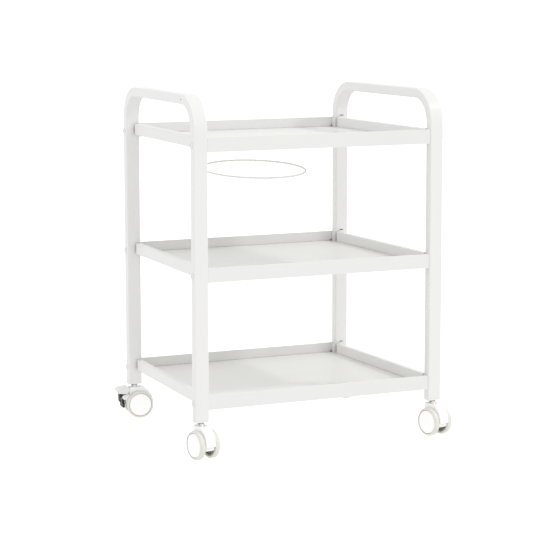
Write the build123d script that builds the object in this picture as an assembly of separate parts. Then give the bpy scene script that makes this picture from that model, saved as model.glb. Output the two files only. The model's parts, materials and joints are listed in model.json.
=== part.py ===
"""Rolling salon trolley: two bent end frames, three bolted trays, a swing-out bowl ring and four twin-wheel casters.

Millimetres, +Z up. The origin is on the floor in the middle of the footprint. X runs along the trays, -Y is the front.
The end frames toe in towards the rear, so the trays are slightly narrower at the back.
"""

from build123d import *
import math
import os

# Overall size
FRONT_WIDTH = 560.0  # outside the front legs
REAR_WIDTH = 533.0  # outside the rear legs
DEPTH = 444.0  # outside the legs, front to rear
HEIGHT = 731.0
LEG_BOTTOM = 74.5
FRAME_Y = 8.0  # the frame's middle lies behind the footprint's, because the front casters trail forwards

# End frames: rectangular tube with rounded corners
TUBE_W = 30.0
TUBE_D = 20.0
TUBE_R = 2.5
TUBE_WALL = 1.5
BEND_R = 72.0  # outside of the handle bends
VENT_R = 1.8
RAIL_W = 12.0
RAIL_H = 24.0
RAIL_WALL = 1.2
RAIL_END_GAP = 5.0  # from each end of a rail to its leg
STUB_INSET = 3.0
SLOT_W = 8.5
SLOT_H = 2.0
SLOT_RISE = 3.8  # from a rim to the middle of the slot above it

# Trays
RIMS = {"bottom": 129.0, "middle": 388.0, "top": 649.0}
TRAY_DROP = 22.0  # rim to floor
SHEET = 1.2
WALL_H = 30.0
WALL_T = 3.0
WALL_INSET = 1.0  # from the legs' outer faces
RAIL_GAP = 1.0  # floor to rail
TAB_T = 2.5
FOOT = 8.0

# Tray bolts, M6
BOLT_DROP = 16.0
BOLT_R = 3.0
BOLT_HOLE_R = 3.2
BOLT_HEAD_R = 6.0
BOLT_HEAD_H = 3.2

# Bowl ring under the top tray
RING_R = 110.0
WIRE_R = 2.0
RING_X = -54.0
RING_Y = 0.0
RING_Z = 560.0
RING_TILT = 4.8
ARM_R = 3.0
ARM_RUN = 12.0  # from the ring's left end to its pivot
EYE_R = 12.0
EYE_H = 6.0
BOSS_R = 8.0
BOSS_H = 7.0
PLATE = 40.0
PLATE_T = 3.0
PIVOT_R = 4.0
SCREW_HEAD_R = 5.5
SCREW_HEAD_H = 4.5

# Casters
WHEEL_R = 30.0
WHEEL_W = 12.0
WHEEL_SPACING = 35.4
TREAD_T = 4.8
TREAD_ROUND = 4.5  # outer edge
TREAD_INNER_ROUND = 2.0
CAP_R = 24.2
CAP_CROWN = 7.2  # from the wheel's middle to the top of its cap
TRAIL = 9.0
AXLE_R = 4.0
STEM_R = 5.4
SOCKET_H = 32.0
COLLAR_LOW_R = 8.8
COLLAR_TOP_R = 6.2
HOOD_R = 31.0
HOOD_W = 22.2
HOOD_WALL = 2.5
HOOD_CUT = 29.5  # height of the hood's lower edge
HOOD_TOP = 68.2
SHOULDER = 18.0  # how far the hood's flat top runs behind the stem
NECK_R = 12.0
HUB_R = 11.0
HUB_NOSE = 35.5  # how far the hub reaches behind the stem, under the hood
HUB_LOW = 20.0
PIN_Y = -24.0
PIN_Z = 46.0
PIN_R = 2.0
LEVER_W = 15.6
SHOE_W = 30.0
PEDAL_W = 34.0
RUN = 0.05  # radial running clearance
CASTERS = {  # heading of each caster's trail, degrees about Z from +Y
    "front_left": -170.0,
    "front_right": -167.0,
    "rear_left": -98.0,
    "rear_right": -95.0,
}
BRAKED = ("rear_left", "rear_right")

TOE = math.degrees(math.atan((FRONT_WIDTH - REAR_WIDTH) / 2 / DEPTH))
MID_HALF = (FRONT_WIDTH + REAR_WIDTH) / 4
LEG_Y = DEPTH / 2 - TUBE_D / 2
LEG_FACE = DEPTH / 2 - TUBE_D
WALL_FACE = DEPTH / 2 - WALL_INSET


def in_left_frame(shape):
    """Moves a shape from the left frame's own axes (x inwards from its outer face) to the trolley's."""
    return Location((-MID_HALF, FRAME_Y, 0), (0, 0, -TOE)) * shape


def in_right_frame(shape):
    """The same for the right frame, which is a left one turned half round."""
    return Location((MID_HALF, FRAME_Y, 0), (0, 0, 180 + TOE)) * shape


def half_width(y, inset):
    """Half the trolley's width at depth y, measured inset mm inside the frames' outer faces."""
    taper = (FRONT_WIDTH - REAR_WIDTH) / 2 / DEPTH
    return FRONT_WIDTH / 2 - (y + DEPTH / 2) * taper - inset / math.cos(math.radians(TOE))


def box(x0, x1, y0, y1, z0, z1):
    return Pos((x0 + x1) / 2, (y0 + y1) / 2, (z0 + z1) / 2) * Box(x1 - x0, y1 - y0, z1 - z0)


def rod_x(radius, x0, x1, y, z):
    return Pos((x0 + x1) / 2, y, z) * Rot(0, 90, 0) * Cylinder(radius, x1 - x0)


def rod_z(radius, z0, z1, x=0.0, y=0.0):
    return Pos(x, y, (z0 + z1) / 2) * Cylinder(radius, z1 - z0)


def swept_tube(inset):
    """The handle tube's outline moved in by inset, swept up one leg, over the handle and down the other."""
    top = HEIGHT - TUBE_D / 2
    path = FilletPolyline(
        (TUBE_W / 2, -LEG_Y, LEG_BOTTOM),
        (TUBE_W / 2, -LEG_Y, top),
        (TUBE_W / 2, LEG_Y, top),
        (TUBE_W / 2, LEG_Y, LEG_BOTTOM),
        radius=BEND_R - TUBE_D / 2,
    )
    outline = RectangleRounded(TUBE_W - 2 * inset, TUBE_D - 2 * inset, TUBE_R - inset)
    return sweep(Pos(TUBE_W / 2, -LEG_Y, LEG_BOTTOM) * outline, path=path)


def frame_tube():
    tube = swept_tube(0) - swept_tube(TUBE_WALL)
    for rim in RIMS.values():
        for y in (-LEG_Y, LEG_Y):
            tube -= rod_x(BOLT_HOLE_R, -1, TUBE_W + 1, y, rim - BOLT_DROP)
        slot_z = rim + SLOT_RISE - SLOT_H / 2
        slot_x = TUBE_W - RAIL_W - SLOT_W + 2
        tube -= box(slot_x, slot_x + SLOT_W, -LEG_FACE - 3, -LEG_FACE + 1, slot_z, slot_z + SLOT_H)
    return tube - rod_x(VENT_R, -1, TUBE_W / 2, BEND_R - DEPTH / 2, HEIGHT - TUBE_D / 2)


def side_rail(rim):
    """Tube rail flush with the frame's inner side, with a narrower solid stub welded to the leg at each end."""
    low = rim - RAIL_H
    end = LEG_FACE - RAIL_END_GAP
    outer = TUBE_W - RAIL_W
    rail = box(outer, TUBE_W, -end, end, low, rim)
    rail = fillet(rail.edges().filter_by(Axis.Y), 1.5)
    rail += box(outer + STUB_INSET, TUBE_W - STUB_INSET, -LEG_FACE, LEG_FACE, low + STUB_INSET, rim - STUB_INSET)
    return rail - box(outer + RAIL_WALL, TUBE_W - RAIL_WALL, 8 - end, end - 8, low + RAIL_WALL, rim - RAIL_WALL)


def plan_outline(y0, y1, inset):
    """Flat trapezium between the two frames from depth y0 to y1."""
    corners = [(-half_width(y0, inset), y0), (half_width(y0, inset), y0)]
    corners += [(half_width(y1, inset), y1), (-half_width(y1, inset), y1)]
    return make_face(Polyline(*corners, close=True))


def tray_wall(rim, side):
    """Front (side -1) or rear (side 1) hemmed wall, with its rounded rim."""
    inner, outer = sorted((side * WALL_FACE, side * (WALL_FACE - WALL_T)))
    wall = extrude(Pos(0, 0, rim - WALL_H) * plan_outline(inner, outer, TUBE_W), WALL_H)
    long_edges = wall.edges().group_by(Axis.Z)[-1].filter_by(lambda e: e.length > TUBE_W)
    return fillet(long_edges, WALL_T * 0.4)


def corner_tab(rim, side):
    """Left-hand tab at one corner, in the left frame's axes, with the hole its bolt screws into."""
    low = rim - TRAY_DROP - SHEET
    inner, outer = sorted((side * (LEG_FACE + 1), side * (WALL_FACE - WALL_T / 2)))
    tab = box(TUBE_W, TUBE_W + TAB_T, inner, outer, low, rim - 1)
    return tab - rod_x(BOLT_R + RUN, TUBE_W - 1, TUBE_W + 5, side * LEG_Y, rim - BOLT_DROP)


def tray(rim):
    floor_z = rim - TRAY_DROP - SHEET
    reach = WALL_FACE - WALL_T / 2
    pan = extrude(Pos(0, 0, floor_z) * plan_outline(-reach, reach, TUBE_W + RAIL_GAP), SHEET)
    pan = Pos(0, FRAME_Y, 0) * (pan + tray_wall(rim, -1) + tray_wall(rim, 1))
    for side in (-1, 1):
        tab = in_left_frame(corner_tab(rim, side))
        pan += tab
        pan += mirror(tab, about=Plane.YZ)
    return pan


def at_every_bolt(shape):
    """Copies of a left-frame shape made for y = 0, z = 0, at all twelve bolts."""
    copies = []
    for rim in RIMS.values():
        for y in (-LEG_Y, LEG_Y):
            left = in_left_frame(Pos(0, y, rim - BOLT_DROP) * shape)
            copies += [left, mirror(left, about=Plane.YZ)]
    return Compound(children=[c.solid() for c in copies])


def bolt():
    dome = fillet(rod_x(BOLT_HEAD_R, -BOLT_HEAD_H, 0, 0, 0).edges().sort_by(Axis.X)[0], BOLT_HEAD_H * 0.8)
    socket = extrude(Pos(-BOLT_HEAD_H, 0, 0) * Rot(0, 90, 0) * RegularPolygon(2.0, 6), 1.8)
    return dome - socket + rod_x(BOLT_R, -0.5, TUBE_W + TAB_T, 0, 0)


def leg_points():
    """Caster name, x, y of each leg's middle."""
    for name in CASTERS:
        y = -LEG_Y if name.startswith("front") else LEG_Y
        spot = in_left_frame(Pos(TUBE_W / 2, y, 0) * Vertex(0, 0, 0)).center()
        yield name, spot.X if name.endswith("left") else -spot.X, spot.Y


def socket():
    """Insert pressed into the foot of a leg."""
    body = RectangleRounded(TUBE_W - 2 * TUBE_WALL, TUBE_D - 2 * TUBE_WALL, TUBE_R - TUBE_WALL)
    insert = extrude(Pos(0, 0, LEG_BOTTOM) * body, SOCKET_H)
    return insert - rod_z(STEM_R + RUN, LEG_BOTTOM - 1, LEG_BOTTOM + SOCKET_H - 4)


def caster_sockets():
    solids = []
    for name, x, y in leg_points():
        turn = -TOE if name.endswith("left") else TOE
        solids.append((Location((x, y, 0), (0, 0, turn)) * socket()).solid())
    return Compound(children=solids)


def stem():
    """Steel pin with a flared collar between the leg and the hood."""
    pin = rod_z(STEM_R, HOOD_TOP - 18, LEG_BOTTOM + SOCKET_H - 6)
    rise = LEG_BOTTOM - HOOD_TOP - 0.3
    return pin + Pos(0, 0, LEG_BOTTOM - rise / 2) * Cone(COLLAR_LOW_R, COLLAR_TOP_R, rise)


def caster_stems():
    return Compound(children=[(Pos(x, y, 0) * stem()).solid() for _, x, y in leg_points()])


def ring_pivot():
    """x, y of the bowl holder's vertical pivot."""
    return RING_X - RING_R - ARM_RUN, RING_Y + FRAME_Y


def ring_end():
    """Left end of the ring's wire, where the arm is welded."""
    return RING_X - RING_R, RING_Y + FRAME_Y, RING_Z


def bowl_ring():
    return Pos(RING_X, RING_Y + FRAME_Y, RING_Z) * Rot(RING_TILT, 0, 0) * Torus(RING_R, WIRE_R)


def under_top_tray():
    return RIMS["top"] - TRAY_DROP - SHEET


def eye_top():
    return under_top_tray() - PLATE_T - BOSS_H - 0.3


def ring_bracket():
    x, y = ring_pivot()
    top = under_top_tray()
    plate = box(x - PLATE / 2, x + PLATE / 2, y - PLATE / 2, y + PLATE / 2, top - PLATE_T, top)
    plate = fillet(plate.edges().filter_by(Axis.Z), 6)
    boss = rod_z(BOSS_R, top - PLATE_T - BOSS_H, top - PLATE_T, x, y)
    return plate + boss - rod_z(PIVOT_R + RUN, top - PLATE_T - BOSS_H - 1, top - 1, x, y)


def ring_arm():
    """Eye on the pivot, and the rod that drops to the ring."""
    x, y = ring_pivot()
    start = Vector(x + EYE_R - ARM_R, y, eye_top() - EYE_H / 2)
    end = Vector(*ring_end())
    run = end - start
    rod = Plane(origin=start, z_dir=run) * Pos(0, 0, run.length / 2) * Cylinder(ARM_R, run.length)
    eye = rod_z(EYE_R, eye_top() - EYE_H, eye_top(), x, y)
    arm = rod + eye - rod_z(PIVOT_R + RUN, eye_top() - EYE_H, eye_top(), x, y)
    return (arm - bowl_ring()).solids().sort_by(SortBy.VOLUME)[-1]


def ring_screw():
    x, y = ring_pivot()
    low = eye_top() - EYE_H - 0.4
    head = rod_z(SCREW_HEAD_R, low - SCREW_HEAD_H, low, x, y)
    head = fillet(head.edges().sort_by(Axis.Z)[0], 2)
    return head + rod_z(PIVOT_R, low - 1, under_top_tray() - 2, x, y)


def hood_shoulder():
    """Raised block over the wheels, flat on top and rounded down to the hood's rear end."""
    rear = TRAIL + HOOD_R
    outline = Polyline((rear, WHEEL_R), (-NECK_R, WHEEL_R), (-NECK_R, HOOD_TOP), (SHOULDER, HOOD_TOP))
    outline += ThreePointArc((SHOULDER, HOOD_TOP), (rear - 6, HOOD_TOP - 14), (rear, WHEEL_R))
    block = extrude(Plane.YZ.offset(-HOOD_W / 2) * make_face(outline), HOOD_W)
    top_edges = block.edges().filter_by(lambda e: e.center().Z > HOOD_CUT + 20 and abs(e.center().X) > 1)
    return fillet(top_edges, 1.5)


def hub_nose():
    """Block that fills the hood's mouth behind the hub."""
    reach = HOOD_W / 2 - 1.2
    nose = box(-reach, reach, TRAIL, HUB_NOSE, HUB_LOW, HOOD_CUT + 4)
    return fillet(nose.edges().filter_by(Axis.X).sort_by(lambda e: e.center().Y - e.center().Z)[-1], 5)


def hood(braked):
    """Half-round shell between the wheels, with the stem's neck and the axle's hub inside."""
    shell = rod_x(HOOD_R, -HOOD_W / 2, HOOD_W / 2, TRAIL, WHEEL_R) + hood_shoulder()
    inner = HOOD_W / 2 - HOOD_WALL
    hollow = rod_x(HOOD_R - HOOD_WALL, -inner, inner, TRAIL, WHEEL_R)
    shell -= hollow - rod_z(STEM_R + HOOD_WALL, 0, HOOD_TOP)
    shell -= box(-HOOD_W, HOOD_W, -WHEEL_R * 2, WHEEL_R * 2, -10, HOOD_CUT)
    shell += rod_x(HUB_R, -HOOD_W / 2, HOOD_W / 2, TRAIL, WHEEL_R) + hub_nose()
    neck = rod_z(NECK_R, WHEEL_R + HOOD_R - 0.5, HOOD_TOP)
    neck = chamfer(neck.edges().sort_by(Axis.Z)[-1], 1.5)
    shell += neck + rod_z(HOOD_W / 2, WHEEL_R + HOOD_R - 6, HOOD_TOP - 2)
    if braked:
        shell += brake_ears()
    shell -= rod_z(STEM_R + RUN, HOOD_TOP - 19, HOOD_TOP + 1)
    return shell - rod_x(AXLE_R + RUN, -HOOD_W, HOOD_W, TRAIL, WHEEL_R)


def brake_ears():
    ears = Part()
    for x in (-HOOD_W / 2, HOOD_W / 2 - HOOD_WALL):
        ear = rod_x(5, x, x + HOOD_WALL, PIN_Y, PIN_Z)
        ear += box(x, x + HOOD_WALL, PIN_Y, -14, PIN_Z - 5, PIN_Z + 5)
        ears += ear - rod_x(PIN_R + RUN, x - 1, x + 5, PIN_Y, PIN_Z)
    return ears


def axle():
    return rod_x(AXLE_R, -WHEEL_SPACING / 2 - 3.4, WHEEL_SPACING / 2 + 3.4, TRAIL, WHEEL_R)


def turned(points):
    """Solid turned about the X axis from (x, radius) points."""
    return revolve(make_face(Polyline(*points, close=True)), Axis.X)


def wheel_tread():
    half = WHEEL_W / 2
    ring = rod_x(WHEEL_R, -half, half, 0, 0)
    inner, outer = ring.edges().filter_by(GeomType.CIRCLE).sort_by(Axis.X)
    ring = fillet(outer, TREAD_ROUND)
    ring = fillet(ring.edges().filter_by(GeomType.CIRCLE).sort_by(Axis.X)[0], TREAD_INNER_ROUND)
    return ring - rod_x(WHEEL_R - TREAD_T, -half - 1, half + 1, 0, 0)


def wheel_core():
    """Moulded rim, web and hub, open towards the hood."""
    rim_r = WHEEL_R - TREAD_T
    bore = AXLE_R + RUN
    points = [(-6, bore), (3.6, bore), (3.6, 9), (1.5, 9), (1.5, rim_r - 3), (3.6, rim_r - 3), (3.6, rim_r)]
    points += [(-5.4, rim_r), (-5.4, rim_r - 3), (-1, rim_r - 3), (-1, 9), (-6, 9)]
    return turned(points)


def wheel_cap():
    """Domed cover over the wheel's outer side."""
    blank = rod_x(CAP_R, WHEEL_W / 2 - 2.2, CAP_CROWN, 0, 0)
    rise = CAP_CROWN - WHEEL_W / 2 + 1
    dome_r = (CAP_R**2 + rise**2) / (2 * rise)
    return blank & Pos(CAP_CROWN - dome_r, 0, 0) * Sphere(dome_r)


def on_wheel(shape, side):
    """Places a wheel piece, made with its outer side towards +X, on side -1 or 1 of the axle."""
    turned_round = shape if side == 1 else Rot(0, 0, 180) * shape
    return Pos(side * WHEEL_SPACING / 2, TRAIL, WHEEL_R) * turned_round


def brake_lever():
    """Arched lever between the hood's ears, with a shoe below that reaches across both treads."""
    points = [(-20, 53.5), (-33, 55.2), (-35.5, 51), (-34.6, 35.5), (-32.4, 35.5), (-32, 44), (-29.5, 46.5)]
    points += [(-27.5, 44), (-29.5, 34), (-29.5, 27), (-27, 24), (-22, 24), (-18, 44)]
    lever = extrude(Plane.YZ.offset(-LEVER_W / 2) * make_face(Polyline(*points, close=True)), LEVER_W)
    lever += box(-SHOE_W / 2, SHOE_W / 2, -29.5, -22, 24, 33)
    lever -= rod_x(WHEEL_R + 4, -30, 30, TRAIL, WHEEL_R)
    return lever - rod_x(PIN_R + RUN, -30, 30, PIN_Y, PIN_Z)


def brake_pedal():
    """Pale pad on top of the lever."""
    points = [(-20, 53.5), (-38, 56), (-41.5, 60), (-40, 63.5), (-35, 67), (-17, 69), (-14.5, 67), (-14.5, 61)]
    pad = extrude(Plane.YZ.offset(-PEDAL_W / 2) * make_face(Polyline(*points, close=True)), PEDAL_W)
    return fillet(pad.faces().filter_by(Axis.X).edges(), 0.8)


def brake_pin():
    return rod_x(PIN_R, -HOOD_W / 2 - 0.5, HOOD_W / 2 + 0.5, PIN_Y, PIN_Z)


def trolley_nodes():
    """Every node's name and shape in the trolley's axes."""
    nodes = {}
    nodes["left_frame_tube"] = in_left_frame(frame_tube())
    nodes["right_frame_tube"] = in_right_frame(frame_tube())
    for level, rim in RIMS.items():
        rail = in_left_frame(side_rail(rim))
        nodes[f"left_rail_{level}"] = rail
        nodes[f"right_rail_{level}"] = mirror(rail, about=Plane.YZ)
        nodes[f"tray_{level}"] = tray(rim)
    nodes["tray_bolts"] = at_every_bolt(bolt())
    nodes["caster_sockets"] = caster_sockets()
    nodes["caster_stems"] = caster_stems()
    nodes["ring_bracket"] = ring_bracket()
    nodes["ring_screw"] = ring_screw()
    nodes["ring_arm"] = ring_arm()
    nodes["bowl_ring"] = bowl_ring()
    wheel_pieces = {"core": wheel_core(), "tread": wheel_tread(), "cap": wheel_cap()}
    for name, x, y in leg_points():
        place = Location((x, y, 0), (0, 0, CASTERS[name]))
        nodes[f"{name}_hood"] = place * hood(name in BRAKED)
        nodes[f"{name}_axle"] = place * axle()
        for letter, side in (("a", -1), ("b", 1)):
            for piece, shape in wheel_pieces.items():
                nodes[f"{name}_wheel_{letter}_{piece}"] = place * on_wheel(shape, side)
        if name in BRAKED:
            nodes[f"{name}_brake_lever"] = place * brake_lever()
            nodes[f"{name}_brake_pedal"] = place * brake_pedal()
            nodes[f"{name}_brake_pin"] = place * brake_pin()
    return nodes


def main():
    os.makedirs("parts", exist_ok=True)
    for name, shape in trolley_nodes().items():
        export_step(shape, f"parts/{name}.step")


main()
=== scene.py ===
"""Looks of the rolling salon trolley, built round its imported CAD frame. Metres, +Z up, -Y is the front."""

import json
import math

import bpy
from mathutils import Matrix, Vector

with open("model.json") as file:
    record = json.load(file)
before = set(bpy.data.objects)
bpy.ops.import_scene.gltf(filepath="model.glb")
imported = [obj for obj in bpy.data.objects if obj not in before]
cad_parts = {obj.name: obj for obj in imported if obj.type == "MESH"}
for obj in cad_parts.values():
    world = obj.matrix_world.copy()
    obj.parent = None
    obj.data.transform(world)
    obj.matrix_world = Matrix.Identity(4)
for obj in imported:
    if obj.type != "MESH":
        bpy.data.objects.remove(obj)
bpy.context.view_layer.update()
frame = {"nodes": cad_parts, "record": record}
NODES = frame["nodes"]

# Painted shade in narrow gaps: its colour, how near a surface counts, and the openness from fully shaded to
# clear
GAP_PAINTED_SHADE = (0.05, 0.05, 0.048)
GAP_DISTANCE = 0.009
GAP_CLOSED = 0.22
GAP_OPEN = 0.58
GAP_SAMPLES = 12

FLOOR_REACH = 150.0
FLOOR_GLOW = 1.1

# Strength of the white surroundings above and below the horizon. A direction blends them while
# its height is within the blend of level.
WORLD_ABOVE = 0.978
WORLD_BELOW = 0.965
HORIZON_BLEND = 0.15

KEY_TOWARD = (1.0, -0.5, 1.0)
KEY_STRENGTH = 0.6
KEY_ANGLE = 5

CAMERA_PLACE = (-1.7461, -3.8833, 0.960)
CAMERA_YAW = 23.86
CAMERA_PITCH = 8.17
CAMERA_ROLL = -0.12
CAMERA_LENS = 135.6
CAMERA_SENSOR = 36.0

# A colour mix node also has float and vector sockets with the same names, so its colours go by number
MIX_FIRST = 6
MIX_SECOND = 7
MIX_RESULT = 2


# Node helpers. The owner is a material or a world.

def add_node(owner, kind, **values):
    """A new node. A value whose name is a socket's sets that socket, and any other sets an attribute."""
    node = owner.node_tree.nodes.new(kind)
    for key, value in values.items():
        if key in node.inputs:
            node.inputs[key].default_value = value
        else:
            setattr(node, key, value)
    return node


def link(owner, source, target):
    owner.node_tree.links.new(source, target)


def noise(owner, scale, detail=3.0):
    """Noise in object coordinates, with scale cycles per metre."""
    coords = add_node(owner, "ShaderNodeTexCoord")
    texture = add_node(owner, "ShaderNodeTexNoise", Scale=scale, Detail=detail, Roughness=0.5)
    link(owner, coords.outputs["Object"], texture.inputs["Vector"])
    return texture.outputs["Fac"]


def remap(owner, value, low, high, start=0.3, end=0.7):
    """The value, with start to end stretched over low to high and clamped."""
    node = add_node(owner, "ShaderNodeMapRange")
    for key, number in (("From Min", start), ("From Max", end), ("To Min", low), ("To Max", high)):
        node.inputs[key].default_value = number
    link(owner, value, node.inputs["Value"])
    return node.outputs["Result"]


# Materials

def new_material(name, color, roughness, metallic=0.0, coat=0.0, glow=0.0):
    material = bpy.data.materials.new(name)
    material.use_nodes = True
    shader = material.node_tree.nodes["Principled BSDF"]
    shader.inputs["Base Color"].default_value = (*color, 1)
    shader.inputs["Roughness"].default_value = roughness
    shader.inputs["Metallic"].default_value = metallic
    shader.inputs["Coat Weight"].default_value = coat
    shader.inputs["Emission Color"].default_value = (1, 1, 1, 1)
    shader.inputs["Emission Strength"].default_value = glow
    return material


def blend_colors(material, factor, first, second):
    mix = add_node(material, "ShaderNodeMix", data_type="RGBA")
    mix.inputs[MIX_FIRST].default_value = (*first, 1)
    mix.inputs[MIX_SECOND].default_value = (*second, 1)
    link(material, factor, mix.inputs["Factor"])
    return mix.outputs[MIX_RESULT]


def paint_gap_shade(material, color):
    """The colour with painted shade: darkened where surfaces nearer than the gap distance close it in."""
    occlusion = add_node(
        material, "ShaderNodeAmbientOcclusion", Distance=GAP_DISTANCE, samples=GAP_SAMPLES)
    openness = remap(material, occlusion.outputs["AO"], 0, 1, GAP_CLOSED, GAP_OPEN)
    mix = add_node(material, "ShaderNodeMix", data_type="RGBA")
    mix.inputs[MIX_FIRST].default_value = (*GAP_PAINTED_SHADE, 1)
    link(material, color, mix.inputs[MIX_SECOND])
    link(material, openness, mix.inputs["Factor"])
    return mix.outputs[MIX_RESULT]


def finish_material(name, colors, roughness, bump, scales, gaps=False, **values):
    """Colour drifting between two tones, with painted shade in narrow gaps if asked, uneven roughness and a
    fine bump of a strength and a depth.

    The scales are those of the colour, the roughness and the bump, in cycles per metre.
    """
    material = new_material(name, colors[0], roughness[0], **values)
    shader = material.node_tree.nodes["Principled BSDF"]
    drift = remap(material, noise(material, scales[0]), 0, 1)
    color = blend_colors(material, drift, *colors)
    # Painted shade: the colour turns dark in narrow gaps, where shade would fall
    if gaps:
        color = paint_gap_shade(material, color)
    link(material, color, shader.inputs["Base Color"])
    gloss = remap(material, noise(material, scales[1], 4), *roughness)
    link(material, gloss, shader.inputs["Roughness"])
    relief = add_node(material, "ShaderNodeBump", Strength=bump[0], Distance=bump[1])
    link(material, noise(material, scales[2], 2), relief.inputs["Height"])
    link(material, relief.outputs["Normal"], shader.inputs["Normal"])
    return material


def painted_steel():
    """Powder coat: satin on the frame and the trays, and duller on the ring's wire. The frame and trays get
    painted shade in their narrow gaps.
    """
    return {
        # gaps=True paints shade into the narrow gaps of the frame and the trays
        "frame_paint": finish_material(
            "frame_paint", ((0.85, 0.847, 0.835), (0.838, 0.835, 0.823)),
            roughness=(0.29, 0.36), bump=(0.04, 5e-5), scales=(6, 40, 300), gaps=True),
        "tray_paint": finish_material(
            "tray_paint", ((0.83, 0.828, 0.808), (0.815, 0.813, 0.793)),
            roughness=(0.30, 0.38), bump=(0.02, 5e-5), scales=(4, 25, 250), gaps=True),
        "ring_paint": finish_material(
            "ring_paint", ((0.88, 0.88, 0.85), (0.86, 0.86, 0.83)),
            roughness=(0.45, 0.6), bump=(0.05, 5e-5), scales=(40, 120, 1500)),
    }


def bare_metal():
    """Zinc plate on the screws, and bright plated steel on the stems, axles and brake pins."""
    return {
        "screw_zinc": finish_material(
            "screw_zinc", ((0.88, 0.88, 0.87), (0.8, 0.8, 0.79)),
            roughness=(0.3, 0.4), bump=(0.1, 1e-4), scales=(200, 500, 2500), metallic=0.4),
        "stem_steel": finish_material(
            "stem_steel", ((0.9, 0.9, 0.89), (0.8, 0.8, 0.79)),
            roughness=(0.3, 0.4), bump=(0.05, 1e-4), scales=(120, 300, 2500), metallic=1.0),
    }


def white_nylon():
    """Glossy moulded hoods and wheel caps with a slight glow, which is painted light, and greyer satin brake
    pedals, whose grey is painted shade.
    """
    return {
        # Painted light: the hoods and caps glow a little of their own, though they are no lamp
        "hood_plastic": finish_material(
            "hood_plastic", ((0.95, 0.95, 0.94), (0.93, 0.93, 0.92)),
            roughness=(0.18, 0.26), bump=(0.05, 1e-4), scales=(50, 160, 2200), coat=0.6, glow=0.05),
        "cap_plastic": finish_material(
            "cap_plastic", ((0.96, 0.96, 0.955), (0.945, 0.945, 0.94)),
            roughness=(0.18, 0.26), bump=(0.05, 1e-4), scales=(60, 200, 2600), coat=0.8, glow=0.1),
        # Painted shade: the pedals are a greyer copy of the white nylon, darkened for the shade they sit in
        "pedal_plastic": finish_material(
            "pedal_plastic", ((0.84, 0.84, 0.825), (0.8, 0.8, 0.785)),
            roughness=(0.3, 0.4), bump=(0.08, 1e-4), scales=(60, 200, 2600)),
    }


def dark_and_soft():
    """Brown wheel cores, black levers and sockets, and pale soft treads."""
    return {
        "core_plastic": finish_material(
            "core_plastic", ((0.34, 0.30, 0.25), (0.26, 0.225, 0.18)),
            roughness=(0.4, 0.6), bump=(0.2, 1e-4), scales=(90, 300, 3000)),
        "dark_plastic": finish_material(
            "dark_plastic", ((0.02, 0.02, 0.02), (0.012, 0.012, 0.012)),
            roughness=(0.35, 0.5), bump=(0.2, 1e-4), scales=(80, 300, 3000)),
        "tread_rubber": finish_material(
            "tread_rubber", ((0.8, 0.793, 0.742), (0.76, 0.75, 0.695)),
            roughness=(0.45, 0.6), bump=(0.15, 1e-4), scales=(70, 260, 2400)),
    }


def paint_cad(materials):
    """Each CAD node gets the material of its slot in the record."""
    for part in frame["record"]["subparts"]:
        faces = NODES[part["node"]].data.materials
        faces.clear()
        faces.append(materials[part["material_slot"]])


# Floor, light and camera

def make_floor():
    """A glowing white floor that doesn't light the trolley, show in its gloss or shade it."""
    mesh = bpy.data.meshes.new("floor")
    corners = [(x * FLOOR_REACH, y * FLOOR_REACH, 0) for x, y in ((-1, -1), (1, -1), (1, 1), (-1, 1))]
    mesh.from_pydata(corners, [], [(0, 1, 2, 3)])
    floor = bpy.data.objects.new("floor", mesh)
    bpy.context.scene.collection.objects.link(floor)
    material = finish_material(
        "floor_white", ((0.26, 0.26, 0.26), (0.24, 0.24, 0.24)),
        roughness=(0.7, 0.9), bump=(0.02, 2e-4), scales=(2, 20, 300), glow=FLOOR_GLOW)
    material.node_tree.nodes["Principled BSDF"].inputs["Specular IOR Level"].default_value = 0.0
    mesh.materials.append(material)
    for ray in ("visible_diffuse", "visible_glossy", "visible_shadow"):
        setattr(floor, ray, False)


def make_key():
    """Parallel light from the right, the front and above, softened over a few degrees."""
    data = bpy.data.lights.new("key", "SUN")
    data.energy = KEY_STRENGTH
    data.angle = math.radians(KEY_ANGLE)
    light = bpy.data.objects.new("key", data)
    bpy.context.scene.collection.objects.link(light)
    light.rotation_euler = (-Vector(KEY_TOWARD)).to_track_quat("-Z", "Y").to_euler()


def make_world():
    """White surroundings, a little weaker below the horizon than above it."""
    world = bpy.data.worlds.new("studio")
    world.use_nodes = True
    background = world.node_tree.nodes["Background"]
    background.inputs["Color"].default_value = (1, 1, 1, 1)
    coords = add_node(world, "ShaderNodeTexCoord")
    split = add_node(world, "ShaderNodeSeparateXYZ")
    link(world, coords.outputs["Generated"], split.inputs["Vector"])
    strength = remap(
        world, split.outputs["Z"], WORLD_BELOW, WORLD_ABOVE, -HORIZON_BLEND, HORIZON_BLEND)
    link(world, strength, background.inputs["Strength"])
    bpy.context.scene.world = world


def make_camera():
    """A long lens from the front left, a little above the trolley."""
    yaw, pitch, roll = (math.radians(angle) for angle in (CAMERA_YAW, CAMERA_PITCH, CAMERA_ROLL))
    ahead = Vector((
        math.sin(yaw) * math.cos(pitch), math.cos(yaw) * math.cos(pitch), -math.sin(pitch)))
    level = Vector((math.cos(yaw), -math.sin(yaw), 0))
    upright = level.cross(ahead)
    right = level * math.cos(roll) + upright * math.sin(roll)
    up = upright * math.cos(roll) - level * math.sin(roll)
    data = bpy.data.cameras.new("camera")
    data.sensor_width = CAMERA_SENSOR
    data.lens = CAMERA_LENS
    camera = bpy.data.objects.new("camera", data)
    bpy.context.scene.collection.objects.link(camera)
    turn = Matrix((right, up, -ahead)).transposed().to_4x4()
    camera.matrix_world = Matrix.Translation(CAMERA_PLACE) @ turn
    bpy.context.scene.camera = camera


paint_cad({**painted_steel(), **bare_metal(), **white_nylon(), **dark_and_soft()})
make_floor()
make_world()
make_key()
make_camera()
bpy.context.scene.view_settings.view_transform = "Standard"
